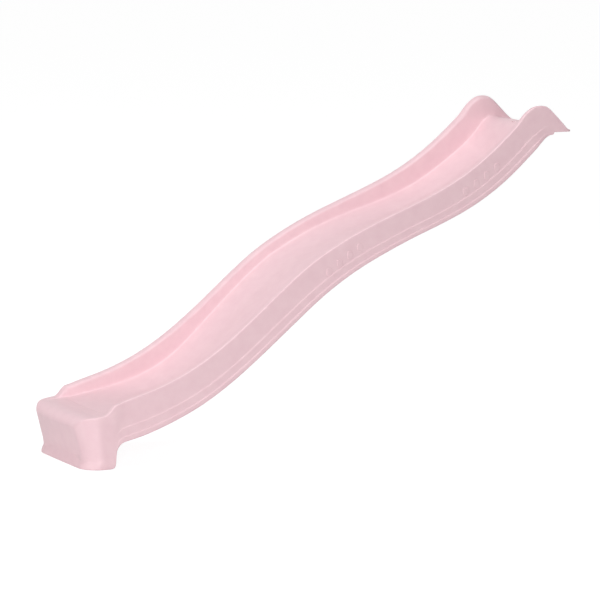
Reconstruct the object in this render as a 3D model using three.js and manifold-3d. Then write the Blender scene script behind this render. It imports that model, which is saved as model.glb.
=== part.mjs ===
// Garden wave slide: one hollow moulded slide body with its lip fixings,
// its water connection and the plugs that close its blow holes.
// Units are millimetres. +X runs from the foot up to the platform, +Y is the
// far side seen from the near rail, +Z is up. The origin is on the flat
// underside of the start lip, which rests on the platform.
import * as THREE from 'three';
import { mergeVertices } from 'three/addons/utils/BufferGeometryUtils.js';
import Module from 'manifold-3d';

const wasm = await Module();
wasm.setup();

// Driving sizes of the moulding
const slideRun = 2020; // front corners of the foot to the tip of the lip, level
const lipHeight = 1146; // platform surface over the ground
const earHeight = 104; // highest point of the rails over the platform
const apexHeight = lipHeight + earHeight;
const slideWidth = 495; // outside of one wall to the outside of the other
const skin = 3.5; // thickness of the moulded plastic
const railWidth = 35; // rounded hand rail on top of each wall
const sheetDepth = 21; // floor surface down to the underside skin
const skirtWidth = 21; // wall below the floor, both skins together
const wallDraftShare = 0.37; // inward lean of the inner wall for its depth
const stepWidth = 2.5; // how far each moulded line stands out on the wall
const floorDip = 22; // hollow across the sliding surface
const creaseEase = 1.6; // easing of the crease between floor and wall
const edgeStep = 0.9; // least height of the rim over the floor

// Driving sizes of the foot
const footLength = 119; // front of the foot to its back edge
const footCorner = 84; // radius of the two front corners seen from above
const footBow = 14; // how far the middle of the front stands out before its corners
const frontRoll = 30; // radius of the rolled front edge
const frontLean = 31; // how far the front draws in on its way down
const toeFlare = 8; // how far the toe stands out again at the ground
const toeHeight = 38; // height at which the toe starts to flare
const frontWall = 44; // thickness of the foot's front, both skins together
const frontBlend = 100; // length over which the front's shape fades out
const rimRise = 5; // rolled rim over the run-out surface
const backCorner = 5; // rounded lower corner of the foot's back edge
const backLean = 7; // how far the back edge leans on its way up
const backFillet = 34; // hollow between the back edge and the wall above it

// Driving sizes of the start lip
const lipThickness = 12; // solid pressed lip
const lipTipThickness = 7; // the lip's top falls away towards its tip
const lipLength = 78; // flat underside from the hook to the tip
const lipCorner = 22; // radius of the lip's corners seen from above
const lipTipRound = 2.5; // rounding of the lip's edge
const hookDepth = 10; // how far the hook hangs below the lip
const hookLength = 16; // thickness of the hook along the slide

// Driving sizes of the fittings
const clearance = 0.3; // gap between pieces that touch or seat
const overrun = 2; // how far a cutter runs past the face that it cuts
const tackLength = 60;
const tackWidth = 16;
const screwSpacing = 230; // between the two lip screws
const screwShank = 6;
const screwLength = 25; // through the lip and into a deck board
const screwHeadWidth = 14;
const screwHeadHeight = 3;
const screwSocket = 5;
const screwSocketDepth = 2;
const screwInset = 44; // lip tip to the screw centres
const washerWidth = 22;
const washerThickness = 1.6;
const recessWidth = 26;
const recessDepth = 7;
const lidThickness = 1.2;
const lidSkirt = 1.4;
const stemWidth = 19;
const nozzleBore = 9;
const nozzleFlange = 36;
const nozzleDome = 3.4;
const nozzleSpot = 1.5; // depth of the flat seat sunk into the crest
const nutSpot = 1; // depth of the flat seat under the crest
const stemTail = 12; // length of the stem that the hose tail screws on to
const nozzleJet = 2;
const jetCount = 5;
const jetFanAngle = 120; // degrees over which the jets are spread
const sealThickness = 1.5;
const sealWidth = 31;
const nutAcross = 28;
const nutHeight = 9;
const nutWasherWidth = 34;
const nutWasherThickness = 2;
const tailLength = 34;
const tailBarb = 16;
const tailNeck = 13;
const tailCollar = 24;
const tailShoulder = 4;
const barbCount = 3;
const capWall = 2;
const capCover = 22; // length of the hose tail that the cap covers
const plugWidth = 14;
const plugFlange = 22;
const plugFlangeThickness = 2;
const plugDepth = 9;
const plugWall = 2;
const roundSides = 20; // faces round the small turned pieces
const tackSides = 10;

// Side view of the rails, as shares of the run and of the apex height
const railShares = [
  [0.0654, 0.1904], [0.0940, 0.2050], [0.1426, 0.2272], [0.2020, 0.2664], [0.2619, 0.3224],
  [0.3218, 0.3960], [0.3827, 0.4784], [0.4436, 0.5568], [0.5050, 0.6160], [0.5664, 0.6632],
  [0.6282, 0.7030], [0.6906, 0.7424], [0.7535, 0.7892], [0.8168, 0.8544], [0.8802, 0.9410],
  [0.8985, 0.9740], [0.9148, 0.9940], [0.9225, 0.9985], [0.9307, 1.0000], [0.9453, 0.9972],
  [0.9564, 0.9830], [0.9777, 0.9490], [0.9861, 0.9345], [0.9901, 0.9268], [0.9945, 0.9200],
  [1.0000, 0.9180],
];

// Side view of the crease where the inner walls meet the floor
const creaseShares = [
  [0.0000, 0.1472], [0.0199, 0.1508], [0.0448, 0.1552], [0.0629, 0.1595], [0.0930, 0.1690],
  [0.1534, 0.1880], [0.2138, 0.2190], [0.2752, 0.2770], [0.3371, 0.3650], [0.3990, 0.4570],
  [0.4614, 0.5380], [0.5238, 0.5950], [0.5867, 0.6380], [0.6500, 0.6720], [0.7138, 0.7040],
  [0.7782, 0.7480], [0.8431, 0.8150], [0.8856, 0.8680], [0.9075, 0.9020], [0.9204, 0.9220],
  [0.9324, 0.9330], [0.9433, 0.9362], [0.9520, 0.9362], [0.9592, 0.9335], [0.9665, 0.9293],
  [0.9725, 0.9266], [0.9775, 0.9264], [1.0000, 0.9264],
];

// Side view of the bottom edge of the outer walls, behind the foot
const bottomShares = [
  [0.0792, 0.0776], [0.1183, 0.0920], [0.1777, 0.1264], [0.2376, 0.1736], [0.2975, 0.2360],
  [0.3579, 0.3112], [0.4188, 0.3912], [0.4802, 0.4696], [0.5416, 0.5320], [0.6035, 0.5808],
  [0.6659, 0.6240], [0.7282, 0.6632], [0.7916, 0.7104], [0.8549, 0.7760], [0.9183, 0.8664],
  [0.9383, 0.8990], [0.9470, 0.9070], [0.9535, 0.9092],
];

// Where the two moulded lines lie on the outer wall, from the rail down
const lineShares = [0.62, 0.84];
// Where the lines fade in behind the foot and out again before the hook
const lineStartShares = [0.055, 0.085];
const lineEndShares = [0.925, 0.952];
// Hollow of the floor along the run: place, share of the full hollow
const dipShares = [
  [0.015, 0], [0.060, 0.25], [0.200, 1], [0.880, 1], [0.930, 0.25], [0.960, 0], [1, 0],
];
// Start and end of the drop from the rails to the rim, on the foot's length
const railDropShares = [0.70, 1.11];
// Where the sloping part of the rails ends and the ears' tops begin
const earTopShare = 0.945;
// Ends of the evenly cut wave, in the outer shape and in the hollow
const waveShares = [0.0925, 0.88];
const hollowWaveShares = [0.0925, 0.92];
// Where the two blow holes lie along the run
const plugShares = [0.36, 0.72];
// Where the underside skin is pressed up to the floor skin
const tackShares = [0.2, 0.46, 0.56, 0.64, 0.82];
// Places of the other cuts: on the front roll, along the foot, up its back edge, on the lip
const rollCutShares = [0, 0.1, 0.33, 0.66, 1];
const footCutShares = [0.54, 0.65, 0.76, 0.84, 0.92];
const backCutShares = [0, 0.5, 0.85, 1];
const filletCutShares = [0.25, 0.6, 1];
const lipCutShares = [0.15, 0.35, 0.55, 0.68];
const hollowFootCutShares = [0.6, 0.78, 0.9];
// Sizes of the rings that close the front end
const closingShares = [0.3, 0.6, 0.85];
// Bow of the end faces while they are split into triangles
const bowShare = 0.001;
// Places across the half floor at which the surface is shaped
const floorShares = [0, 0.3, 0.58, 0.8, 0.94];

const halfWidth = slideWidth / 2;
const railRadius = railWidth / 2;
const hookX = slideRun - lipLength;
const lipTop = lipHeight + lipThickness;
const hookBottom = lipHeight - hookDepth;

// A smooth line through a few side view points, read by its place along the run
function smoothLine(shares, lengthScale, heightScale) {
  const points = shares.map(([place, height]) => [place * lengthScale, height * heightScale]);
  const slopes = points.map((point, i) => {
    const before = points[Math.max(i - 1, 0)];
    const after = points[Math.min(i + 1, points.length - 1)];
    return (after[1] - before[1]) / (after[0] - before[0]);
  });
  return (x) => {
    if (x <= points[0][0]) return points[0][1] + slopes[0] * (x - points[0][0]);
    let i = 0;
    while (i < points.length - 2 && x > points[i + 1][0]) i += 1;
    const span = points[i + 1][0] - points[i][0];
    const t = Math.min((x - points[i][0]) / span, 1);
    const rise = points[i + 1][1] - points[i][1];
    const bend = (slopes[i] * span - rise) * (1 - t) - (slopes[i + 1] * span - rise) * t;
    return points[i][1] + rise * t + t * (1 - t) * bend;
  };
}

// A value that changes straight from one listed place to the next
function straightLine(shares, lengthScale, valueScale) {
  return (x) => {
    const place = x / lengthScale;
    if (place <= shares[0][0]) return shares[0][1] * valueScale;
    for (let i = 1; i < shares.length; i += 1) {
      const [before, after] = [shares[i - 1], shares[i]];
      if (place > after[0]) continue;
      const t = (place - before[0]) / (after[0] - before[0]);
      return (before[1] + (after[1] - before[1]) * t) * valueScale;
    }
    return shares[shares.length - 1][1] * valueScale;
  };
}

const blend = THREE.MathUtils.smoothstep;
const mix = THREE.MathUtils.lerp;
const railLine = smoothLine(railShares, slideRun, apexHeight);
const creaseLine = smoothLine(creaseShares, slideRun, apexHeight);
const bottomLine = smoothLine(bottomShares, slideRun, apexHeight);
const dipLine = straightLine(dipShares, slideRun, floorDip);
const footHeight = creaseLine(0) + rimRise;

// How far a roundover of this radius has fallen at a distance from its edge
function roundFall(distance, radius) {
  const reach = Math.max(radius - distance, 0);
  return radius - Math.sqrt(Math.max(radius * radius - reach * reach, 0));
}

// The lip's top is level over its screws and falls away behind them
function lipTopAt(x) {
  const fall = blend(x, slideRun - screwInset + recessWidth / 2, slideRun);
  return lipTop - (lipThickness - lipTipThickness) * fall;
}

function railHeight(x) {
  const drop = blend(x, railDropShares[0] * footLength, railDropShares[1] * footLength);
  const top = mix(creaseLine(x) + rimRise, railLine(Math.max(x, railShares[0][0] * slideRun)), drop);
  const front = roundFall(x, frontRoll);
  const tip = roundFall(slideRun - x, lipTipRound);
  return Math.max(top, x > hookX ? lipTopAt(x) : 0) - front - tip;
}

function creaseHeight(x) {
  const rim = rimRise * (1 - blend(x, frontRoll, frontWall + frontRoll));
  const tip = roundFall(slideRun - x, lipTipRound);
  const onLip = blend(x, hookX - hookLength, hookX + hookLength);
  const top = mix(creaseLine(x) + rim, lipTopAt(x), onLip);
  return Math.min(top - tip, railHeight(x) - edgeStep);
}

// The foot's back edge rises nearly upright from a small rounded corner
function bottomHeight(x) {
  const tip = roundFall(slideRun - x, lipTipRound);
  if (x > hookX) return lipHeight + tip;
  if (x > hookX - hookLength) return hookBottom;
  if (x <= footLength) return 0;
  const upright = footLength + backCorner;
  if (x < upright) return roundRise(x - footLength, backCorner);
  const wallFoot = bottomLine(footLength + backLean + backFillet) - backFillet / 2;
  const top = footLength + backLean;
  if (x < top) return mix(backCorner, wallFoot - backFillet / 2, (x - upright) / (top - upright));
  const end = top + backFillet;
  if (x < end) {
    const t = (x - top) / backFillet;
    const start = wallFoot - backFillet / 2;
    return mix(start, bottomLine(end), 1 - (1 - t) * (1 - t));
  }
  return Math.min(bottomLine(x), hookBottom);
}

function roundRise(distance, radius) {
  return radius - Math.sqrt(Math.max(radius * radius - distance * distance, 0));
}

function floorDrop(x) {
  return dipLine(x) * stretch(x);
}

// Slanted walls cut upright are longer by this factor
function stretch(x) {
  const reach = skin;
  const slope = (railHeight(x + reach) - railHeight(x - reach)) / (2 * reach);
  const steady = x > footLength && x < slideRun * earTopShare;
  return steady ? Math.sqrt(1 + slope * slope) : 1;
}

function undersideHeight(x) {
  if (x <= frontWall) return 0;
  const full = creaseHeight(x) - floorDrop(x) - sheetDepth * stretch(x);
  if (x > hookX) return bottomHeight(x);
  const hookBack = hookX - hookLength;
  if (x > hookBack) return hookBottom;
  const deepest = Math.max(full, bottomHeight(x));
  const recess = blend(x, frontWall, frontWall + skirtWidth / 2);
  return deepest * recess;
}

function outerHalfWidth(x, inset) {
  const cornerReach = Math.max(footCorner - x, 0);
  const corner = footCorner - Math.sqrt(
    Math.max((footCorner - inset) ** 2 - cornerReach ** 2, 0));
  const lip = roundFall(slideRun - x, lipCorner);
  return Math.min(halfWidth - corner, halfWidth - inset) - lip;
}

// Leans, bows and flares the front of the foot
function shapeFront(x, y, z) {
  const fade = Math.max(1 - x / frontBlend, 0);
  const leanTop = footHeight - frontRoll;
  const lean = frontLean * THREE.MathUtils.clamp((leanTop - z) / (leanTop - toeHeight), 0, 1);
  const flare = toeFlare * (1 - blend(z, toeHeight / 5, toeHeight));
  const bow = footBow * (1 - (y / halfWidth) ** 2);
  return [x + (lean - flare - bow) * fade, y, z];
}

// How far the moulded lines have faded in behind the foot and out before the hook
function lineStart(x) {
  return blend(x, lineStartShares[0] * slideRun, lineStartShares[1] * slideRun);
}

function lineEnd(x) {
  return blend(x, lineEndShares[0] * slideRun, lineEndShares[1] * slideRun);
}

// Half of the outline that an upright cut across the slide shows
function outerOutline(x) {
  const rail = railHeight(x);
  const crease = creaseHeight(x);
  const wall = rail - crease;
  const bottom = bottomHeight(x);
  const under = undersideHeight(x);
  const k = stretch(x);
  const side = outerHalfWidth(x, 0);
  const top = side - 2 * stepWidth * lineStart(x);
  const ledgeWidth = stepWidth * lineStart(x) * (1 - lineEnd(x));
  const low = top + 2 * ledgeWidth;
  const innerRail = top - railWidth;
  const creaseY = innerRail - creaseEase - (wall / k) * wallDraftShare;
  const dip = floorDrop(x);
  const outline = floorShares.map((share) => [creaseY * share, crease - dip * (1 - share * share)]);
  const innerRound = Math.min(railRadius * k, wall * 0.6);
  const outerRound = Math.min(railRadius * k, (rail - bottom) * 0.45);
  const lift = Math.min(sheetDepth / 2, wall * 0.3);
  outline.push([creaseY, crease + lift * 0.25]);
  outline.push([creaseY + creaseEase / 2 + (lift / k) * wallDraftShare, crease + lift]);
  const arc = [0, 1 / 3, 2 / 3, 1].map((share) => (share * Math.PI) / 2);
  for (const a of arc) {
    outline.push([top - railRadius - railRadius * Math.cos(a), rail - innerRound * (1 - Math.sin(a))]);
  }
  for (const a of arc.slice(1)) {
    outline.push([top - railRadius + railRadius * Math.sin(a), rail - outerRound * (1 - Math.cos(a))]);
  }
  const drop = rail - bottom;
  lineShares.forEach((share, i) => {
    const y = top + i * ledgeWidth;
    const z = rail - drop * share;
    const ledge = Math.min(stepWidth * k, drop * 0.05);
    outline.push([y, z]);
    outline.push([y + ledgeWidth, z - ledge]);
  });
  const edge = Math.min(stepWidth * 2, drop * 0.1);
  outline.push([low, bottom + edge]);
  outline.push([low - edge * 0.3, bottom + edge * 0.3]);
  outline.push([low - edge, bottom]);
  const skirt = low - skirtWidth;
  const recess = under - bottom;
  outline.push([skirt + edge * 0.8, bottom]);
  outline.push([skirt, bottom + Math.min(edge, recess * 0.2)]);
  outline.push([skirt - edge * 0.6, bottom + recess * 0.75]);
  outline.push([skirt - edge * 2.4, under]);
  outline.push([skirt / 2, under]);
  outline.push([0, under]);
  return outline;
}

// Half of the outline of the hollow between the two skins at the same cut
function hollowOutline(x) {
  const k = stretch(x);
  const t = skin;
  const rail = Math.min(railHeight(x - t), railHeight(x + t), railHeight(x));
  const crease = Math.min(creaseHeight(x - t), creaseHeight(x + t), creaseHeight(x));
  const bottom = Math.max(bottomHeight(x - t), bottomHeight(x + t));
  const under = Math.max(undersideHeight(x - t), undersideHeight(x + t));
  const side = outerHalfWidth(x, t);
  const top = side - 2 * stepWidth * lineStart(x);
  const innerRail = top + 2 * t - railWidth;
  const creaseY = innerRail - creaseEase - ((rail - crease) / k) * wallDraftShare;
  const dip = floorDrop(x);
  const ceiling = crease - t * k;
  const outline = [0, 0.45, 0.8].map((share) => [creaseY * share, ceiling - dip * (1 - share * share)]);
  outline.push([creaseY, ceiling]);
  const wall = rail - crease;
  const round = Math.min(railRadius * k, wall * 0.6);
  outline.push([innerRail, Math.min(rail - round, ceiling + wall)]);
  const middle = top + t - railRadius;
  outline.push([Math.max(middle - railRadius / 2, innerRail + t), rail - t * k - round * 0.2]);
  outline.push([middle + railRadius / 3, rail - t * k - round * 0.1]);
  outline.push([top, rail - Math.max(round, railRadius)]);
  const floor = bottom + t * k;
  lineShares.forEach((share, i) => {
    outline.push([mix(top, side, i / lineShares.length), mix(rail, bottom, share)]);
  });
  outline.push([side - stepWidth / 2, floor + t]);
  outline.push([side - t, floor]);
  const skirt = outerHalfWidth(x, 0) - skirtWidth + t;
  const roof = Math.max(under + t * k, floor);
  outline.push([skirt + t, floor]);
  outline.push([skirt, mix(floor, roof, 0.3)]);
  outline.push([skirt - t * 2, mix(floor, roof, 0.9)]);
  outline.push([skirt - t * 5, roof]);
  outline.push([0, roof]);
  return outline;
}

// Joins the cuts to one closed skin, with both ends closed by drawn-in rings
function loft(places, outlineAt, shape) {
  const rings = places.map((x) => {
    const half = outlineAt(x);
    const mirrored = half.slice(1, -1).reverse().map(([y, z]) => [-y, z]);
    return [...half, ...mirrored].map(([y, z]) => [x, y, z]);
  });
  const shrink = (ring, share) => {
    const heights = ring.map((point) => point[2]);
    const middle = (Math.min(...heights) + Math.max(...heights)) / 2;
    return ring.map(([x, y, z]) => [x, y * share, mix(middle, z, share)]);
  };
  const front = closingShares.map((share) => shrink(rings[0], share));
  const all = [...front, ...rings];
  const count = rings[0].length;
  const positions = all.flat().map((point) => shape(...point));
  const faces = [];
  for (let i = 0; i + 1 < all.length; i += 1) {
    for (let j = 0; j < count; j += 1) {
      const next = (j + 1) % count;
      const [a, b] = [i * count + j, i * count + next];
      const [c, d] = [a + count, b + count];
      faces.push([a, c, b], [b, c, d]);
    }
  }
  const last = (all.length - 1) * count;
  for (const start of [0, last]) {
    // A slight bow keeps points that lie in line from being skipped
    const flat = all[start / count].map(([, y, z]) => (
      new THREE.Vector2(y + (z * z * bowShare) / apexHeight, z + (y * y * bowShare) / apexHeight)));
    for (const [a, b, c] of THREE.ShapeUtils.triangulateShape(flat, [])) {
      faces.push(start ? [start + a, start + b, start + c] : [a, c, b]);
    }
  }
  return solidFrom(positions.flat(), faces.flat());
}

function solidFrom(vertices, triangles) {
  const mesh = new wasm.Mesh({
    numProp: 3,
    vertProperties: new Float32Array(vertices),
    triVerts: new Uint32Array(triangles),
  });
  mesh.merge();
  return new wasm.Manifold(mesh);
}

// Turns a closed three.js geometry into a solid that can be cut
function solid(geometry) {
  const bare = geometry.index ? geometry.toNonIndexed() : geometry.clone();
  bare.deleteAttribute('normal');
  bare.deleteAttribute('uv');
  const merged = mergeVertices(bare);
  return solidFrom(merged.attributes.position.array, merged.index.array);
}

function geometryOf(manifold) {
  const mesh = manifold.getMesh();
  const geometry = new THREE.BufferGeometry();
  const positions = new Float32Array(mesh.numVert * 3);
  for (let i = 0; i < mesh.numVert; i += 1) {
    for (let n = 0; n < 3; n += 1) positions[i * 3 + n] = mesh.vertProperties[i * mesh.numProp + n];
  }
  geometry.setAttribute('position', new THREE.BufferAttribute(positions, 3));
  geometry.setIndex(new THREE.BufferAttribute(new Uint32Array(mesh.triVerts), 1));
  geometry.computeVertexNormals();
  return geometry;
}

const pinkPlastic = { color: 0xeac9cf, roughness: 0.42, metalness: 0 };
const paleNylon = { color: 0xe9e7e2, roughness: 0.5, metalness: 0 };
const steel = { color: 0xb9bcc0, roughness: 0.3, metalness: 1 };
const blackRubber = { color: 0x2a2a2c, roughness: 0.8, metalness: 0 };

function piece(name, geometry, look) {
  const mesh = new THREE.Mesh(geometry, new THREE.MeshStandardMaterial(look));
  mesh.name = name;
  return mesh;
}

// A turned piece from half of its upright outline, given as radius and height
function turned(outline, sides = roundSides) {
  const points = outline.map(([radius, height]) => new THREE.Vector2(radius, height));
  const geometry = new THREE.LatheGeometry(points, sides);
  geometry.rotateX(Math.PI / 2);
  return geometry;
}

// An upright cylinder between two heights
function drum(width, low, high, sides = roundSides) {
  return turned([[0, low], [width / 2, low], [width / 2, high], [0, high]], sides);
}

// An upright ring between two heights, open through the middle
function ring(width, bore, low, high, sides = roundSides) {
  const [outside, inside] = [width / 2, bore / 2];
  return turned([[inside, low], [outside, low], [outside, high], [inside, high], [inside, low]], sides);
}

function placed(geometry, x, y, z) {
  return geometry.clone().translate(x, y, z);
}

const screwX = slideRun - screwInset;
const screwRows = [-screwSpacing / 2, screwSpacing / 2];
const nozzleX = hookX - hookLength - nutWasherWidth / 2 - 2 * clearance;
const nozzleSeat = creaseHeight(nozzleX) - floorDrop(nozzleX) - nozzleSpot;
const nutSeat = undersideHeight(nozzleX) + nutSpot;

// Cuts along the slide, closer together where its shape turns quickly
function bodyPlaces() {
  const roll = rollCutShares.map((share) => share * frontRoll);
  const foot = footCutShares.map((share) => share * footLength);
  const wall = [(frontRoll + frontWall) / 2, frontWall, frontWall + skirtWidth / 2];
  const back = backCutShares.map((share) => footLength + backCorner * share);
  back.push(footLength + backLean);
  back.push(...filletCutShares.map((share) => footLength + backLean + backFillet * share));
  const [waveStart, waveEnd] = waveShares.map((share) => share * slideRun);
  const waveCount = 26;
  const wave = Array.from({ length: waveCount + 1 }, (_, i) => mix(waveStart, waveEnd, i / waveCount));
  const crestCount = 10;
  const crestEnd = hookX - hookLength - overrun;
  const crest = Array.from({ length: crestCount }, (_, i) => mix(waveEnd, crestEnd, (i + 1) / crestCount));
  const hook = [hookX - hookLength + overrun / 4, hookX - overrun / 4, hookX + overrun / 4];
  const lipStart = hookX + overrun;
  const lip = lipCutShares.map((share) => mix(lipStart, slideRun, share));
  const tip = [lipCorner, lipCorner / 2, lipTipRound, lipTipRound / 3, 0].map((d) => slideRun - d);
  const places = [...roll, ...wall, ...foot, ...back, ...wave, ...crest, ...hook, ...lip, ...tip];
  return places.sort((a, b) => a - b);
}

function hollowPlaces() {
  const wall = [2 * skin, frontWall / 2, frontWall - skin, frontWall + skirtWidth / 2 - skin];
  const foot = hollowFootCutShares.map((share) => share * footLength);
  const back = [footLength - skin, footLength + backLean - skin, footLength + backLean + backFillet];
  const [waveStart, waveEnd] = hollowWaveShares.map((share) => share * slideRun);
  const waveCount = 19;
  const wave = Array.from({ length: waveCount + 1 }, (_, i) => mix(waveStart, waveEnd, i / waveCount));
  return [...wall, ...foot, ...back, ...wave];
}

// A seat half way between neighbouring cuts of the underside
function undersideSeat(share) {
  const places = bodyPlaces();
  const i = places.findIndex((place) => place > share * slideRun);
  const [x0, x1] = [places[i - 1], places[i]];
  const [z0, z1] = [undersideHeight(x0), undersideHeight(x1)];
  return { x: (x0 + x1) / 2, z: (z0 + z1) / 2, tilt: Math.atan2(z1 - z0, x1 - x0) };
}

const plugSeats = plugShares.map(undersideSeat);
const tackSeats = tackShares.map(undersideSeat);

function tilted(geometry, seat) {
  return geometry.clone().rotateY(-seat.tilt).translate(seat.x, 0, seat.z);
}

// A long tapered dent in the underside, or with a margin the plastic round it
function tack(seat, margin, height) {
  const [mouth, end] = [tackWidth / 2 + margin, tackWidth / 3 + margin];
  const dent = turned([[0, -overrun], [mouth, -overrun], [end, height], [0, height]], tackSides);
  return solid(tilted(dent.scale(tackLength / tackWidth, 1, 1), seat));
}

function slideBody() {
  let body = loft(bodyPlaces(), outerOutline, shapeFront);
  let hollow = loft(hollowPlaces(), hollowOutline, shapeFront);
  for (const seat of tackSeats) hollow = hollow.subtract(tack(seat, skin, sheetDepth));
  body = body.subtract(hollow);
  for (const seat of tackSeats) body = body.subtract(tack(seat, 0, sheetDepth - skin - clearance));
  for (const y of screwRows) {
    const hole = drum(screwShank + 4 * clearance, lipHeight - overrun, lipTop + overrun);
    const recess = drum(recessWidth, lipTop - recessDepth, lipTop + overrun);
    body = body.subtract(solid(placed(hole, screwX, y, 0)));
    body = body.subtract(solid(placed(recess, screwX, y, 0)));
  }
  const port = drum(stemWidth + 2 * clearance, nutSeat - overrun, nozzleSeat + overrun);
  const top = drum(nozzleFlange + 2 * clearance, nozzleSeat, nozzleSeat + nozzleSpot + overrun);
  const nutEnd = nutSeat - nutWasherThickness - nutHeight - 4 * clearance;
  const under = drum(nutWasherWidth + 2 * clearance, nutEnd, nutSeat);
  for (const cutter of [port, top, under]) {
    body = body.subtract(solid(placed(cutter, nozzleX, 0, 0)));
  }
  for (const seat of plugSeats) {
    const hole = drum(plugWidth + 2 * clearance, -overrun, skin + 2 * overrun);
    body = body.subtract(solid(tilted(hole, seat)));
  }
  return piece('slide_body', geometryOf(body), pinkPlastic);
}

// A screw whose pan head sits on the washer in the lip's recess
function lipScrew(name, y) {
  const seat = lipTop - recessDepth + washerThickness + 2 * clearance;
  const [head, shank] = [screwHeadWidth / 2, screwShank / 2];
  const point = screwShank;
  const bodyShape = turned([
    [0, seat - screwLength], [shank, seat - screwLength + point], [shank, seat],
    [head, seat], [head, seat + screwHeadHeight / 2], [head * 0.8, seat + screwHeadHeight],
    [0, seat + screwHeadHeight],
  ]);
  const top = seat + screwHeadHeight;
  const socket = drum(screwSocket, top - screwSocketDepth, top + overrun, 6);
  const screw = solid(bodyShape).subtract(solid(socket));
  return piece(name, geometryOf(screw).translate(screwX, y, 0), steel);
}

function lipWasher(name, y) {
  const low = lipTop - recessDepth + clearance;
  const shape = ring(washerWidth, screwShank + 2 * clearance, low, low + washerThickness);
  return piece(name, placed(shape, screwX, y, 0), steel);
}

// The lid closes the recess flush with the lip and stands round the washer
function lipScrewLid(name, y) {
  const radius = recessWidth / 2 - clearance;
  const inside = radius - lidSkirt;
  const low = lipTop - recessDepth + clearance;
  const shape = turned([
    [inside, low], [radius, low], [radius, lipTop - lidThickness / 2],
    [radius - lidThickness / 2, lipTop], [0, lipTop], [0, lipTop - lidThickness],
    [inside, lipTop - lidThickness], [inside, low],
  ]);
  return piece(name, placed(shape, screwX, y, 0), pinkPlastic);
}

// A flanged nozzle on the crest, with a stem through the slide and a fan of jets
function sprayNozzle() {
  const flange = nozzleSeat + sealThickness + 2 * clearance;
  const top = flange + nozzleDome;
  const stemEnd = nutSeat - nutWasherThickness - nutHeight - 3 * clearance - stemTail;
  const [edge, stem] = [nozzleFlange / 2, stemWidth / 2];
  let nozzle = solid(turned([
    [0, stemEnd], [stem, stemEnd], [stem, flange], [edge, flange],
    [edge, flange + nozzleDome * 0.3], [edge * 0.72, flange + nozzleDome * 0.85],
    [edge * 0.4, top], [0, top],
  ]));
  const chamber = flange + nozzleDome / 2;
  nozzle = nozzle.subtract(solid(drum(nozzleBore, stemEnd - overrun, chamber)));
  const jetHeight = flange + nozzleJet / 2 - overrun / 4;
  for (let i = 0; i < jetCount; i += 1) {
    const angle = Math.PI + THREE.MathUtils.degToRad(jetFanAngle * (i / (jetCount - 1) - 0.5));
    const jet = drum(nozzleJet, 0, nozzleFlange, 10).rotateY(Math.PI / 2).rotateZ(angle);
    nozzle = nozzle.subtract(solid(jet.translate(0, 0, jetHeight)));
  }
  return piece('spray_nozzle', geometryOf(nozzle).translate(nozzleX, 0, 0), paleNylon);
}

function nozzleSeal() {
  const low = nozzleSeat + clearance;
  const shape = ring(sealWidth, stemWidth + 2 * clearance, low, low + sealThickness);
  return piece('nozzle_seal', placed(shape, nozzleX, 0, 0), blackRubber);
}

function nozzleWasher() {
  const high = nutSeat - clearance;
  const shape = ring(nutWasherWidth, stemWidth + 2 * clearance, high - nutWasherThickness, high);
  return piece('nozzle_washer', placed(shape, nozzleX, 0, 0), paleNylon);
}

function nozzleNut() {
  const high = nutSeat - nutWasherThickness - 2 * clearance;
  const acrossCorners = nutAcross / Math.cos(Math.PI / 6);
  const hex = solid(drum(acrossCorners, high - nutHeight, high, 6));
  const bore = drum(stemWidth + 2 * clearance, high - nutHeight - overrun, high + overrun);
  const nut = hex.subtract(solid(bore));
  return piece('nozzle_nut', geometryOf(nut).translate(nozzleX, 0, 0), paleNylon);
}

// Where the hose tail's collar ends and its barbs begin
const collarTop = nutSeat - nutWasherThickness - nutHeight - 3 * clearance;
const collarLow = collarTop - stemTail - tailShoulder;

// A collar on the stem's end that carries a barbed tail for a garden hose
function hoseTail() {
  const [collar, stem] = [tailCollar / 2, stemWidth / 2 + clearance];
  const [barb, neck, bore] = [tailBarb / 2, tailNeck / 2, nozzleBore / 2];
  const outline = [[bore, collarLow - tailLength]];
  const pitch = tailLength / (barbCount + 1);
  for (let i = 0; i < barbCount; i += 1) {
    const low = collarLow - tailLength + i * pitch;
    outline.push([neck, low], [barb, low + pitch * 0.7], [neck, low + pitch * 0.75]);
  }
  outline.push([neck, collarLow], [collar, collarLow], [collar, collarTop], [stem, collarTop]);
  const shoulder = collarTop - stemTail - clearance;
  outline.push([stem, shoulder], [bore, shoulder], [bore, collarLow - tailLength]);
  return piece('hose_tail', placed(turned(outline), nozzleX, 0, 0), paleNylon);
}

// A cap that closes the hose tail while no hose is on it
function hoseTailCap() {
  const inside = tailBarb / 2 + clearance;
  const outside = inside + capWall;
  const end = collarLow - tailLength - clearance;
  const shape = turned([
    [0, end - capWall], [outside, end - capWall], [outside, end + capCover],
    [inside, end + capCover], [inside, end], [0, end],
  ]);
  return piece('hose_tail_cap', placed(shape, nozzleX, 0, 0), paleNylon);
}

// A hollow push-in plug that closes a blow hole in the underside
function blowHolePlug(name, seat) {
  const [flange, body] = [plugFlange / 2, plugWidth / 2];
  const shape = turned([
    [0, -clearance - plugFlangeThickness], [flange, -clearance - plugFlangeThickness],
    [flange, -clearance], [body, -clearance], [body, plugDepth],
    [body - plugWall, plugDepth], [body - plugWall, 0], [0, 0],
  ]);
  return piece(name, tilted(shape, seat), pinkPlastic);
}

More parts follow.
